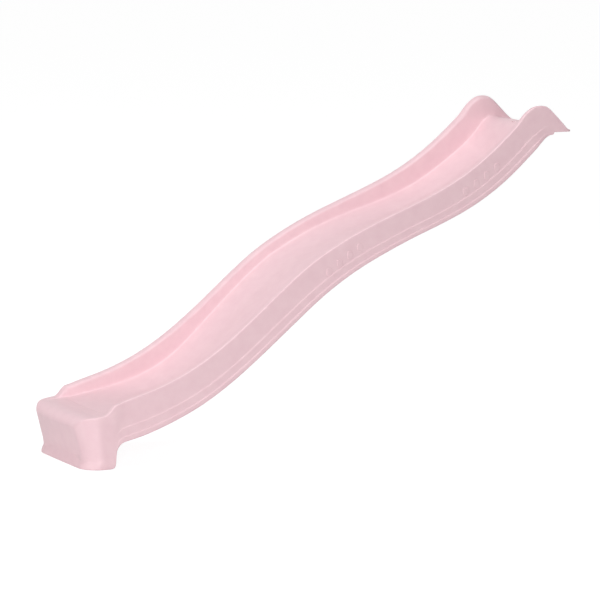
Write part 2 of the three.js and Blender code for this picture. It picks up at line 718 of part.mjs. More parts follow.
const slide = new THREE.Group();
slide.add(slideBody());
const sides = ['near', 'far'];
sides.forEach((side, i) => {
  slide.add(lipScrew(`lip_screw_${side}`, screwRows[i]));
  slide.add(lipWasher(`lip_washer_${side}`, screwRows[i]));
  slide.add(lipScrewLid(`lip_screw_lid_${side}`, screwRows[i]));
});
slide.add(sprayNozzle(), nozzleSeal(), nozzleWasher(), nozzleNut(), hoseTail(), hoseTailCap());
slide.add(blowHolePlug('blow_hole_plug_lower', plugSeats[0]));
slide.add(blowHolePlug('blow_hole_plug_upper', plugSeats[1]));
slide.position.set(-screwX, 0, -lipHeight);

const group = new THREE.Group();
group.add(slide);
export default group;
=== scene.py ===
"""Looks of a garden wave slide: one blow moulded slide body with its lip screws, water
connection and blow hole plugs, on a plain pale floor in soft studio light."""

import math

import bpy
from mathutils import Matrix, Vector


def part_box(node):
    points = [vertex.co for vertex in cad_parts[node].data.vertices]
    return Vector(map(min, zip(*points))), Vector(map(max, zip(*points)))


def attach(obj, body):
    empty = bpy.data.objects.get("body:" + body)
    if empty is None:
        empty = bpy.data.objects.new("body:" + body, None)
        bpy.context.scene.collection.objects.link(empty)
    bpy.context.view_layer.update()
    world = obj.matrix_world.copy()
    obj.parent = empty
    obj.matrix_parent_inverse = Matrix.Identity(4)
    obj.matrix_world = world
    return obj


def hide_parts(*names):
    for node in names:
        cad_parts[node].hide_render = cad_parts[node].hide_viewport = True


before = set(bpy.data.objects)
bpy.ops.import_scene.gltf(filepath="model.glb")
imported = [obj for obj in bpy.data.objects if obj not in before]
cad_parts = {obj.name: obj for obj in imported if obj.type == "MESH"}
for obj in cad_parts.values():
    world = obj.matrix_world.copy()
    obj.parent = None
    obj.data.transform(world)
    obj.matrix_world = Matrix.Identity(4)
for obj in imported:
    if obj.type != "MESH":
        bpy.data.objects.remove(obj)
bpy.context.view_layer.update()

# Lengths below are millimetres and MM turns them to metres. Run is the way along the
# slide from the front corners of its foot, height is over the ground and side is from
# the middle.
MM = 0.001

# The moulding
SLIDE_RUN = 2020
LIP_HEIGHT = 1146
EAR_HEIGHT = 104
APEX_HEIGHT = LIP_HEIGHT + EAR_HEIGHT
SLIDE_WIDTH = 495
NARROWING = 4
RAIL_WIDTH = 35
RAIL_OUTER_ROUND = 6
RAIL_INNER_ROUND = 29
RAIL_INNER_FALL = 13
SHEET_DEPTH = 21
SKIN = 3
SKIRT_WIDTH = 21
WALL_DRAFT_SHARE = 0.08
STEP_WIDTH = 2.5
STEP_DROP = 4
UNDERSIDE_DIP = 22
TROUGH_DEPTH = 24
TROUGH_FLAT_SHARE = 0.35
TROUGH_EASE = 0.25
CREASE_EASE = 1.6
LEAST_WALL = 0.9

# The most that a rounding or a step may take of the height of the wall that it is in
CREASE_LIMIT = 0.3
INNER_ROUND_LIMIT = 0.6
OUTER_ROUND_LIMIT = 0.45
STEP_LIMIT = 0.04
STEP_SUPPORT_LIMIT = 0.015
EDGE_LIMIT = 0.1
INNER_ROUND_STEPS = 4
OUTER_ROUND_STEPS = 3

# The foot
FOOT_LENGTH = 108
FOOT_CORNER = 75
FOOT_BOW = 12
GROUND_BOW_SHARE = 0.2
FRONT_ROLL = 35
FRONT_PUSH = 8
FRONT_LEAN = 31
TOE_FLARE = 15
TOE_HEIGHT = 38
FRONT_WALL = 44
FRONT_BLEND = 100
RIM_RISE = 5
BACK_CORNER = 16
BACK_LEAN = 18
BACK_FILLET = 34

# The start lip
LIP_THICKNESS = 12
LIP_TIP_THICKNESS = 7
LIP_LENGTH = 78
LIP_CORNER = 22
LIP_TIP_ROUND = 2.5
HOOK_DEPTH = 10
HOOK_LENGTH = 16

# The fittings. A profile lists points: those of the screw, the nozzle and the tack-offs'
# ends as shares of a radius and a height, the others as distances from an edge and a face.
# The barbs' second values are shares of their pitch.
CLEARANCE = 0.3
OVERRUN = 2
SCREW_SPACING = 230
SCREW_INSET = 44
SCREW_SHANK = 6
SCREW_CORE = 4.4
SCREW_LENGTH = 25
SCREW_TIP = 0.3
SCREW_TAPER = [(0.6, 0.9), (1, 0.8)]
SCREW_PLAIN_SHARE = 0.3
SCREW_THREAD_SHARE = 0.82
SCREW_PITCH = 2.2
SCREW_HEAD_WIDTH = 14
SCREW_HEAD_HEIGHT = 3
SCREW_HEAD_PROFILE = [(1, 0), (1, 0.4), (0.96, 0.65), (0.85, 0.88), (0.7, 1)]
SCREW_SOCKET = 5
SCREW_SOCKET_DEPTH = 2
WASHER_WIDTH = 22
WASHER_THICKNESS = 1.6
RECESS_WIDTH = 26
RECESS_DEPTH = 7
LID_THICKNESS = 1.2
LID_SKIRT = 1.4
LID_RING_INSETS = [3, 3.4, 4.2, 4.6]
LID_RING_SHARE = 0.35
LID_NOTCH = (2.4, 5, 1.4)
STEM_WIDTH = 19
STEM_CORE = 17
STEM_PITCH = 1.8
STEM_TAIL = 12
NOZZLE_BORE = 9
NOZZLE_FLANGE = 36
NOZZLE_DOME = 3.4
NOZZLE_PROFILE = [(1, 0.3), (0.965, 0.5), (0.88, 0.68), (0.72, 0.85), (0.56, 0.95), (0.4, 1)]
NOZZLE_JET = 2
JET_SIDES = 16
JET_SINK = 0.5
JET_COUNT = 5
JET_FAN = math.radians(120)
PIN_HOLE = 2.6
PIN_HOLE_SIDES = 20
PIN_HOLE_SHARE = 0.55
SEAL_THICKNESS = 1.5
SEAL_WIDTH = 31
NUT_ACROSS = 28
NUT_HEIGHT = 9
NUT_FACE_INSET = 0.3
NUT_CORNER_SHARE = 0.6
NUT_BORE_CHAMFER = [(1.5, -1), (0.5, 0), (0, 0.6)]
NUT_WASHER_WIDTH = 34
NUT_WASHER_THICKNESS = 2
TAIL_LENGTH = 34
TAIL_BARB = 16
TAIL_NECK = 13
TAIL_COLLAR = 24
TAIL_SHOULDER = 4
BARB_COUNT = 3
BARB_PROFILE = [(0.2, 0.66), (0, 0.7), (0.1, 0.72)]
BARB_END_SHARE = 0.75
CAP_WALL = 2
CAP_COVER = 22
CAP_MOUTH_PROFILE = [(0.4, 0), (0, -0.4), (0, -3)]
CAP_END_PROFILE = [(0, 1), (0.3, 0.3), (1, 0), (3, 0), (3.6, 0.5)]
PLUG_WIDTH = 14
PLUG_FLANGE = 22
PLUG_FLANGE_THICKNESS = 2
PLUG_DEPTH = 9
PLUG_WALL = 2
PLUG_BARB_PROFILE = [(0.7, 0), (0, -1.2), (0.4, -3)]
PLUG_NECK_INSET = 0.4
PLUG_FACE_PROFILE = [(0, 0.9), (0.25, 0.3), (0.9, 0)]
PLUG_DISH = (1.2, 0.7)
TACK_LENGTH = 60
TACK_WIDTH = 16
# Shares of the mouth's radius, and heights in mm
TACK_MOUTH_PROFILE = [(1.35, -OVERRUN), (1.2, -0.6), (1.1, 0.5), (1, 2), (0.96, 3)]
TACK_END_PROFILE = [(1.05, 0.8), (0.9, 0.93), (0.6, 1)]
# How deep a thread ridge and a grip rib are sunk, and what else the fittings share
THREAD_ROOT = 0.3
THREAD_FLANK_SHARE = 0.38
THREAD_STEPS = 32
RIB_DEPTH = 0.45
ROUND_SIDES = 64
RIB_SIDES = 48
FINE_EDGE = 0.25
SEAL_EDGE = 0.4
BEVEL_ANGLE = 35
SMOOTH_ANGLE = 30
FINE_SMOOTH_ANGLE = 25

# Small raised pads on the outer walls: where the first and last pad of each row lie
PAD_ROWS = [((989, 672), (1117, 757)), ((1563, 941), (1695, 1025))]
PADS_IN_ROW = 4
PAD_WIDTH = 23
PAD_LENGTH = 30
PAD_RISE = 1.3
PAD_ROOT = 1
PAD_CORNER_SHARE = 0.4
PAD_CORNER_STEPS = 6
PAD_SIDE_SHARE = 0.3
PAD_SLOPE_SHARE = 0.7

# Side views as shares of the run and of the apex height
RAIL_SHARES = [
    (0.0654, 0.1904), (0.0940, 0.2050), (0.1426, 0.2272), (0.2020, 0.2664), (0.2619, 0.3224),
    (0.3218, 0.3942), (0.3827, 0.4760), (0.4436, 0.5540), (0.5050, 0.6134), (0.5664, 0.6606),
    (0.6282, 0.7004), (0.6906, 0.7400), (0.7535, 0.7868), (0.8168, 0.8522), (0.8802, 0.9390),
    (0.8985, 0.9740), (0.9148, 0.9940), (0.9225, 0.9985), (0.9307, 1.0000), (0.9453, 0.9972),
    (0.9564, 0.9830), (0.9777, 0.9490), (0.9861, 0.9345), (0.9901, 0.9268), (0.9945, 0.9200),
    (1.0000, 0.9180),
]
CREASE_SHARES = [
    (0.0000, 0.1472), (0.0199, 0.1508), (0.0448, 0.1552), (0.0629, 0.1595), (0.0930, 0.1690),
    (0.1534, 0.1880), (0.2138, 0.2190), (0.2752, 0.2770), (0.3371, 0.3650), (0.3990, 0.4570),
    (0.4614, 0.5380), (0.5238, 0.5950), (0.5867, 0.6380), (0.6500, 0.6720), (0.7138, 0.7040),
    (0.7782, 0.7480), (0.8431, 0.8150), (0.8856, 0.8680), (0.9075, 0.9020), (0.9204, 0.9220),
    (0.9324, 0.9330), (0.9433, 0.9362), (0.9520, 0.9362), (0.9592, 0.9335), (0.9665, 0.9293),
    (0.9725, 0.9266), (0.9775, 0.9264), (1.0000, 0.9264),
]
BOTTOM_SHARES = [
    (0.0792, 0.0776), (0.1183, 0.0920), (0.1777, 0.1264), (0.2376, 0.1718), (0.2975, 0.2336),
    (0.3579, 0.3086), (0.4188, 0.3890), (0.4802, 0.4680), (0.5416, 0.5312), (0.6035, 0.5808),
    (0.6659, 0.6240), (0.7282, 0.6626), (0.7916, 0.7090), (0.8549, 0.7736), (0.9183, 0.8618),
    (0.9383, 0.8938), (0.9470, 0.9046), (0.9535, 0.9080),
]
# The moulded lines: how far down the wall they lie, and where they fade in and out
LINE_SHARES = [0.62, 0.84]
LINE_START_SHARES = [0.055, 0.085]
LINE_END_SHARES = [0.925, 0.952]
# How much of its dip the floor has along the run
DIP_SHARES = [
    (0.015, 0), (0.060, 0.25), (0.200, 1), (0.880, 1), (0.930, 0.25), (0.960, 0), (1, 0),
]
# How far the floor lies under the crease line, because its walls stand more upright
FLOOR_SINKS = [
    (0.050, 0), (0.070, 3), (0.150, 5), (0.275, 10), (0.340, 9.5), (0.460, 6), (0.590, 5),
    (0.710, 6.5), (0.840, 12), (0.9075, 16), (0.928, 6), (0.936, 0), (1, 0),
]
# Where the trough runs out, so that the nozzle is sunk in a level floor
LEVEL_SHARES = [0.9, 0.934]
# Where the slide narrows a little towards its ears
NARROWING_SHARES = [0.6, 0.93]
# Where the foot's rim passes into the rails, and where the slanting walls end
RAIL_DROP_SHARES = [0.041, 0.0653]
EAR_TOP_SHARE = 0.945
# Places across the half floor, and the wave with its plugs and tack-offs along it
FLOOR_SHARES = [0, 0.3, 0.42, 0.56, 0.76, 0.965]
WAVE_SHARES = [0.0925, 0.88]
SEAT_STEPS = 26
PLUG_SHARES = {"lower": 0.36, "upper": 0.72}
TACK_SHARES = [0.2, 0.46, 0.56, 0.64, 0.82]
# Where the cuts lie: as shares of the front corner, the foot, its back corner, its back
# fillet and the lip, then as insets from the lip's tip
CORNER_CUT_SHARES = [0, 0.008, 0.033, 0.075, 0.133, 0.207, 0.295, 0.395]
FOOT_CUT_SHARES = [0.56, 0.65, 0.72, 0.79, 0.86, 0.93]
BACK_CUT_SHARES = [0, 0.5, 0.85, 1]
FILLET_CUT_SHARES = [0.25, 0.6, 1]
LIP_CUT_SHARES = [0.06, 0.2, 0.35, 0.5, 0.62]
TIP_CUT_INSETS = [LIP_CORNER, 14, 8, LIP_TIP_ROUND, 1.2, 0]
WAVE_CUTS = 33
CREST_CUTS = 11
HOOK_CUT_GAP = 0.4
FRONT_CLOSING_SHARES = [0.12, 0.3, 0.5, 0.68, 0.82, 0.93]
TIP_CLOSING_SHARES = [0.98]

HALF_WIDTH = SLIDE_WIDTH / 2
HOOK_RUN = SLIDE_RUN - LIP_LENGTH
HOOK_BACK = HOOK_RUN - HOOK_LENGTH
LIP_TOP = LIP_HEIGHT + LIP_THICKNESS
HOOK_BOTTOM = LIP_HEIGHT - HOOK_DEPTH
SCREW_RUN = SLIDE_RUN - SCREW_INSET
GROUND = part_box("slide_body")[0].z
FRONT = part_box("slide_body")[1].x - SLIDE_RUN * MM


def mix(a, b, t):
    return a + (b - a) * t


def blend(value, start, end):
    """0 before start, 1 after end and a smooth rise between them."""
    t = min(max((value - start) / (end - start), 0), 1)
    return t * t * (3 - 2 * t)


def smooth_line(shares, length_scale, height_scale):
    """A smooth line through a few side view points, read by its place along the run."""
    points = [(place * length_scale, height * height_scale) for place, height in shares]
    slopes = []
    for i in range(len(points)):
        before, after = points[max(i - 1, 0)], points[min(i + 1, len(points) - 1)]
        slopes.append((after[1] - before[1]) / (after[0] - before[0]))

    def height_at(run):
        if run <= points[0][0]:
            return points[0][1] + slopes[0] * (run - points[0][0])
        i = 0
        while i < len(points) - 2 and run > points[i + 1][0]:
            i += 1
        span = points[i + 1][0] - points[i][0]
        rise = points[i + 1][1] - points[i][1]
        t = min((run - points[i][0]) / span, 1)
        bend = (slopes[i] * span - rise) * (1 - t) - (slopes[i + 1] * span - rise) * t
        return points[i][1] + rise * t + t * (1 - t) * bend

    return height_at


rail_line = smooth_line(RAIL_SHARES, SLIDE_RUN, APEX_HEIGHT)
crease_line = smooth_line(CREASE_SHARES, SLIDE_RUN, APEX_HEIGHT)
bottom_line = smooth_line(BOTTOM_SHARES, SLIDE_RUN, APEX_HEIGHT)
FOOT_HEIGHT = crease_line(0) + RIM_RISE


def eased(steps, run):
    """A value that goes smoothly from one listed place along the run to the next."""
    value = steps[0][1]
    for before, after in zip(steps, steps[1:]):
        if run > before[0] * SLIDE_RUN:
            value = mix(before[1], after[1], blend(run / SLIDE_RUN, before[0], after[0]))
    return value


def trough_rise(share):
    """How far the trough's side has risen at a share of its half width: its middle is flat."""
    t = max(share - TROUGH_FLAT_SHARE, 0) / (1 - TROUGH_FLAT_SHARE)
    rise = t * t / (2 * TROUGH_EASE) if t < TROUGH_EASE else t - TROUGH_EASE / 2
    return rise / (1 - TROUGH_EASE / 2)


def round_fall(distance, radius):
    """How far a roundover has fallen at a distance from its edge."""
    reach = max(radius - distance, 0)
    return radius - math.sqrt(max(radius * radius - reach * reach, 0))


def lip_top(run):
    """The lip's top is level over its screws and falls away behind them."""
    fall = blend(run, SCREW_RUN + RECESS_WIDTH / 2, SLIDE_RUN)
    return LIP_TOP - (LIP_THICKNESS - LIP_TIP_THICKNESS) * fall


def rail_height(run):
    drop = blend(run, RAIL_DROP_SHARES[0] * SLIDE_RUN, RAIL_DROP_SHARES[1] * SLIDE_RUN)
    rail = rail_line(max(run, RAIL_SHARES[0][0] * SLIDE_RUN))
    top = mix(crease_line(run) + RIM_RISE, rail, drop)
    top = max(top, lip_top(run) if run > HOOK_RUN else 0)
    return top - round_fall(run, FRONT_ROLL) - round_fall(SLIDE_RUN - run, LIP_TIP_ROUND)


def crease_height(run):
    rim = RIM_RISE * (1 - blend(run, FRONT_ROLL, FRONT_WALL + FRONT_ROLL))
    on_lip = blend(run, HOOK_BACK, HOOK_RUN + HOOK_LENGTH)
    top = mix(crease_line(run) + rim - eased(FLOOR_SINKS, run), lip_top(run), on_lip)
    return min(top - round_fall(SLIDE_RUN - run, LIP_TIP_ROUND), rail_height(run) - LEAST_WALL)


def bottom_height(run):
    """Lower edge of the outer wall, with the foot's upright back edge and its fillet."""
    if run > HOOK_RUN:
        return LIP_HEIGHT + round_fall(SLIDE_RUN - run, LIP_TIP_ROUND)
    if run > HOOK_BACK:
        return HOOK_BOTTOM
    if run <= FOOT_LENGTH:
        return 0
    upright = FOOT_LENGTH + BACK_CORNER
    if run < upright:
        return BACK_CORNER - math.sqrt(BACK_CORNER ** 2 - (run - FOOT_LENGTH) ** 2)
    top = FOOT_LENGTH + BACK_LEAN
    fillet_foot = bottom_line(top + BACK_FILLET) - BACK_FILLET
    if run < top:
        return mix(BACK_CORNER, fillet_foot, (run - upright) / (top - upright))
    if run < top + BACK_FILLET:
        t = (run - top) / BACK_FILLET
        return mix(fillet_foot, bottom_line(top + BACK_FILLET), 1 - (1 - t) ** 2)
    return min(bottom_line(run), HOOK_BOTTOM)


def stretch(run):
    """Slanted walls cut upright are longer by this factor."""
    if not FOOT_LENGTH < run < SLIDE_RUN * EAR_TOP_SHARE:
        return 1
    reach = SKIRT_WIDTH / 6
    slope = (rail_height(run + reach) - rail_height(run - reach)) / (2 * reach)
    return math.sqrt(1 + slope * slope)


def under_height(run):
    """Underside of the floor between the two side walls."""
    if run <= FRONT_WALL:
        return 0
    if run > HOOK_RUN:
        return bottom_height(run)
    if run > HOOK_BACK:
        return HOOK_BOTTOM
    level = crease_height(run) + eased(FLOOR_SINKS, run)
    dip = eased(DIP_SHARES, run) * UNDERSIDE_DIP
    full = level - (dip + SHEET_DEPTH) * stretch(run)
    return max(full, bottom_height(run)) * blend(run, FRONT_WALL, FRONT_WALL + SKIRT_WIDTH / 2)


def half_width_at(run):
    corner_reach = max(FOOT_CORNER - run, 0)
    corner = FOOT_CORNER - math.sqrt(max(FOOT_CORNER ** 2 - corner_reach ** 2, 0))
    narrowed = NARROWING * blend(run / SLIDE_RUN, *NARROWING_SHARES)
    return HALF_WIDTH - narrowed - corner - round_fall(SLIDE_RUN - run, LIP_CORNER)


def shape_front(run, side, height):
    """Leans, bows and flares the front of the foot."""
    fade = max(1 - run / FRONT_BLEND, 0)
    lean_top = FOOT_HEIGHT - FRONT_ROLL
    lean = FRONT_LEAN * min(max((lean_top - height) / (lean_top - TOE_HEIGHT), 0), 1)
    flare = TOE_FLARE * (1 - blend(height, TOE_HEIGHT / 5, TOE_HEIGHT))
    straight = mix(GROUND_BOW_SHARE, 1, blend(height, 0, 2 * TOE_HEIGHT))
    bow = FOOT_BOW * straight * (1 - (side / HALF_WIDTH) ** 2)
    return run + (lean - flare - bow - FRONT_PUSH) * fade, side, height


def line_start(run):
    """How far the moulded lines have faded in behind the foot."""
    return blend(run, LINE_START_SHARES[0] * SLIDE_RUN, LINE_START_SHARES[1] * SLIDE_RUN)


def line_end(run):
    """How far the moulded lines have faded out before the hook."""
    return blend(run, LINE_END_SHARES[0] * SLIDE_RUN, LINE_END_SHARES[1] * SLIDE_RUN)


def wall_side(run):
    """Where the upper part of the outer wall lies, over the moulded lines."""
    return half_width_at(run) - 2 * STEP_WIDTH * line_start(run)


def half_section(run):
    """Half of the outline that an upright cut across the slide shows, as side and height."""
    rail, crease = rail_height(run), crease_height(run)
    bottom, under = bottom_height(run), under_height(run)
    wall, drop = rail - crease, rail - bottom
    k = stretch(run)
    top = wall_side(run)
    ledge = STEP_WIDTH * line_start(run) * (1 - line_end(run))
    low = top + 2 * ledge

    # The floor, a trough with a flat middle, and the foot of the inner wall
    inner_rail = top - RAIL_WIDTH
    crease_side = inner_rail - CREASE_EASE - (wall / k) * WALL_DRAFT_SHARE
    level = blend(run, *(share * SLIDE_RUN for share in LEVEL_SHARES))
    trough = eased(DIP_SHARES, run) * TROUGH_DEPTH * k * (1 - level)
    outline = [(crease_side * share, crease - trough * (1 - trough_rise(share)))
               for share in FLOOR_SHARES]
    lift = min(SHEET_DEPTH / 2, wall * CREASE_LIMIT)
    outline.append((crease_side, crease + lift * 0.12))
    outline.append((crease_side + CREASE_EASE / 2 + (lift / k) * WALL_DRAFT_SHARE, crease + lift))

    # The rail, which falls gently inwards and turns tightly outwards
    inner_round = min(RAIL_INNER_FALL * k, wall * INNER_ROUND_LIMIT)
    outer_round = min(RAIL_OUTER_ROUND * k, drop * OUTER_ROUND_LIMIT)
    ridge = top - RAIL_OUTER_ROUND
    for step in range(INNER_ROUND_STEPS + 1):
        a = step * math.pi / (2 * INNER_ROUND_STEPS)
        outline.append((ridge - RAIL_INNER_ROUND * math.cos(a),
                        rail - inner_round * (1 - math.sin(a))))
    for step in range(1, OUTER_ROUND_STEPS + 1):
        a = step * math.pi / (2 * OUTER_ROUND_STEPS)
        outline.append((ridge + RAIL_OUTER_ROUND * math.sin(a),
                        rail - outer_round * (1 - math.cos(a))))

    # The moulded lines, as two small ledges
    for i, share in enumerate(LINE_SHARES):
        side, height = top + i * ledge, rail - drop * share
        foot = height - min(STEP_DROP * k, drop * STEP_LIMIT)
        support = min(STEP_WIDTH * k, drop * STEP_SUPPORT_LIMIT)
        outline += [(side, height + support), (side, height)]
        outline += [(side + ledge, foot), (side + ledge, foot - support)]

    # The rounded lower edge, the back of the skirt and the underside: shares of the
    # round's size and of the height of the recess behind the skirt
    edge = min(STEP_WIDTH * 2, drop * EDGE_LIMIT)
    recess = under - bottom
    skirt = low - SKIRT_WIDTH
    outline += [
        (low, bottom + edge), (low - edge * 0.3, bottom + edge * 0.3), (low - edge, bottom),
        (skirt + edge * 0.8, bottom), (skirt, bottom + min(edge, recess * 0.2)),
        (skirt - edge * 0.6, bottom + recess * 0.75), (skirt - edge * 2.4, under),
        (skirt / 2, under), (0, under),
    ]
    return outline


def stations():
    """Cuts along the slide, closer together where its shape turns quickly."""
    runs = [share * FOOT_CORNER for share in CORNER_CUT_SHARES]
    runs += [FRONT_WALL, FRONT_WALL + SKIRT_WIDTH / 2]
    runs += [FOOT_LENGTH * share for share in FOOT_CUT_SHARES]
    runs += [FOOT_LENGTH + BACK_CORNER * share for share in BACK_CUT_SHARES]
    top = FOOT_LENGTH + BACK_LEAN
    runs += [top] + [top + BACK_FILLET * share for share in FILLET_CUT_SHARES]
    wave_start, wave_end = (share * SLIDE_RUN for share in WAVE_SHARES)
    runs += [mix(wave_start, wave_end, i / WAVE_CUTS) for i in range(WAVE_CUTS + 1)]
    crest_end = HOOK_BACK - STEP_WIDTH
    runs += [mix(wave_end, crest_end, (i + 1) / CREST_CUTS) for i in range(CREST_CUTS)]
    for place in (HOOK_BACK, HOOK_RUN):
        runs += [place - HOOK_CUT_GAP, place + HOOK_CUT_GAP]
    runs += [mix(HOOK_RUN, SLIDE_RUN, share) for share in LIP_CUT_SHARES]
    return runs + [SLIDE_RUN - inset for inset in TIP_CUT_INSETS]


def in_frame(run, side, height):
    """A point of the slide in the frame's metres."""
    return FRONT + run * MM, side * MM, GROUND + height * MM


def underside_seat(share):
    """Run, height and tilt of a seat on the underside of the floor."""
    start, end = (s * SLIDE_RUN for s in WAVE_SHARES)
    step = (end - start) / SEAT_STEPS
    low = start + math.floor((share * SLIDE_RUN - start) / step) * step
    heights = under_height(low), under_height(low + step)
    return low + step / 2, sum(heights) / 2, math.atan2(heights[1] - heights[0], step)


def deselect():
    if bpy.context.object and bpy.context.object.mode != "OBJECT":
        bpy.ops.object.mode_set(mode="OBJECT")
    bpy.ops.object.select_all(action="DESELECT")


def make_active(piece):
    deselect()
    piece.select_set(True)
    bpy.context.view_layer.objects.active = piece


def finish_modifier(piece, kind, **settings):
    """Adds a modifier with its settings and applies it."""
    make_active(piece)
    modifier = piece.modifiers.new(kind.title(), kind)
    for name, value in settings.items():
        setattr(modifier, name, value)
    bpy.ops.object.modifier_apply(modifier=modifier.name)


def close_skin(piece):
    """Merges doubles, fills open ends and turns all faces outwards."""
    make_active(piece)
    bpy.ops.object.mode_set(mode="EDIT")
    bpy.ops.mesh.select_all(action="SELECT")
    bpy.ops.mesh.remove_doubles(threshold=1e-6)
    bpy.ops.mesh.select_all(action="DESELECT")
    bpy.ops.mesh.select_mode(type="EDGE")
    bpy.ops.mesh.select_non_manifold()
    bpy.ops.mesh.fill_holes(sides=0)
    bpy.ops.mesh.select_all(action="SELECT")
    bpy.ops.mesh.normals_make_consistent(inside=False)
    bpy.ops.object.mode_set(mode="OBJECT")


def smooth_by_angle(piece, degrees=SMOOTH_ANGLE):
    make_active(piece)
    bpy.ops.object.shade_smooth_by_angle(angle=math.radians(degrees))


def apply_place(piece):
    """Moves a piece's place, turn and scale into its mesh."""
    make_active(piece)
    bpy.ops.object.transform_apply(location=True, rotation=True, scale=True)


def set_down(piece, run, side, height, tilt=0, lengthen=1):
    """Puts a piece in its place, with the place in its mesh."""
    piece.scale = lengthen, 1, 1
    piece.rotation_euler = 0, -tilt, 0
    piece.location = in_frame(run, side, height)
    apply_place(piece)
    return piece


def join(pieces):
    make_active(pieces[0])
    for piece in pieces:
        piece.select_set(True)
    bpy.ops.object.join()
    return bpy.context.object


def combine(piece, tool, operation):
    """Cuts, adds or keeps the overlap of a closed tool, which is used up."""
    finish_modifier(piece, "BOOLEAN", object=tool, operation=operation, solver="EXACT")
    bpy.data.objects.remove(tool)


def turned(name, outline, sides=ROUND_SIDES):
    """A closed piece turned round an upright axis from its outline of radius and height."""
    deselect()
    radius, height = outline[0]
    bpy.ops.mesh.primitive_circle_add(vertices=sides, radius=radius * MM,
                                      location=(0, 0, height * MM))
    piece = bpy.context.object
    piece.name = name
    bpy.ops.object.transform_apply(location=True)
    bpy.ops.object.mode_set(mode="EDIT")
    bpy.ops.mesh.select_mode(type="EDGE")
    bpy.ops.mesh.select_all(action="SELECT")
    for next_radius, next_height in outline[1:]:
        lift = (0, 0, (next_height - height) * MM)
        bpy.ops.mesh.extrude_region_move(TRANSFORM_OT_translate={"value": lift})
        widen = next_radius / radius
        bpy.ops.transform.resize(value=(widen, widen, 1), center_override=(0, 0, 0))
        radius, height = next_radius, next_height
    bpy.ops.object.mode_set(mode="OBJECT")
    close_skin(piece)
    return piece


def fine_edges(piece, width=FINE_EDGE):
    """Breaks the sharp edges as a moulding tool or a tumbler leaves them."""
    finish_modifier(piece, "BEVEL", width=width * MM, segments=2, limit_method="ANGLE",
                    angle_limit=math.radians(BEVEL_ANGLE))
    smooth_by_angle(piece)
    finish_modifier(piece, "WEIGHTED_NORMAL", keep_sharp=True)
    return piece


def thread_ridge(core, crest, pitch, low, high):
    """The winding ridge of a thread, as a triangle that is drawn round and up."""
    deselect()
    bpy.ops.mesh.primitive_circle_add(vertices=3)
    ridge = bpy.context.object
    half, root = pitch * THREAD_FLANK_SHARE, core - THREAD_ROOT
    corners = (root, low - half), (crest, low), (root, low + half)
    for vertex, (radius, height) in zip(ridge.data.vertices, corners):
        vertex.co = radius * MM, 0, height * MM
    turns = int((high - low) / pitch)
    finish_modifier(ridge, "SCREW", axis="Z", screw_offset=pitch * MM, iterations=turns,
                    steps=THREAD_STEPS, render_steps=THREAD_STEPS)
    close_skin(ridge)
    return ridge


def grip_ribs(piece, low, high):
    """Sinks every other side face between two heights, for a grip."""
    make_active(piece)
    bpy.ops.object.mode_set(mode="EDIT")
    bpy.ops.mesh.select_mode(type="FACE")
    bpy.ops.mesh.select_all(action="DESELECT")
    bpy.ops.object.mode_set(mode="OBJECT")
    for face in piece.data.polygons:
        centre = face.center
        outward = face.normal.x * centre.x + face.normal.y * centre.y > 0
        if not (low * MM < centre.z < high * MM and outward and abs(face.normal.z) < 0.1):
            continue
        turn = math.atan2(centre.y, centre.x) / (2 * math.pi) * RIB_SIDES
        face.select = math.floor(turn) % 2 == 0
    bpy.ops.object.mode_set(mode="EDIT")
    bpy.ops.mesh.inset(thickness=RIB_DEPTH / 2 * MM, depth=-RIB_DEPTH * MM, use_individual=True)
    bpy.ops.object.mode_set(mode="OBJECT")


def shrunk(ring, share):
    """A ring drawn in towards its middle, which closes an end."""
    heights = [height for _, _, height in ring]
    middle = (min(heights) + max(heights)) / 2
    return [(run, side * share, mix(middle, height, share)) for run, side, height in ring]


def wrapped_sheet(name, rings):
    """A grid wrapped round one ring of points after the other, closed at both ends."""
    deselect()
    bpy.ops.mesh.primitive_grid_add(x_subdivisions=len(rings[0]), y_subdivisions=len(rings) - 1)
    piece = bpy.context.object
    piece.name = name
    points = [point for ring in rings for point in ring + ring[:1]]
    for vertex, point in zip(piece.data.vertices, points):
        vertex.co = in_frame(*shape_front(*point))
    close_skin(piece)
    return piece


def moulding_skin():
    """The slide's outer skin, drawn through its cuts and smoothed."""
    rings = []
    for run in stations():
        half = half_section(run)
        mirrored = [(-side, height) for side, height in reversed(half[1:-1])]
        rings.append([(run, side, height) for side, height in half + mirrored])
    front = [shrunk(rings[0], share) for share in FRONT_CLOSING_SHARES]
    tip = [shrunk(rings[-1], share) for share in TIP_CLOSING_SHARES]
    piece = wrapped_sheet("slide_moulding", front + rings + tip)
    finish_modifier(piece, "SUBSURF", levels=2, render_levels=2)
    return piece


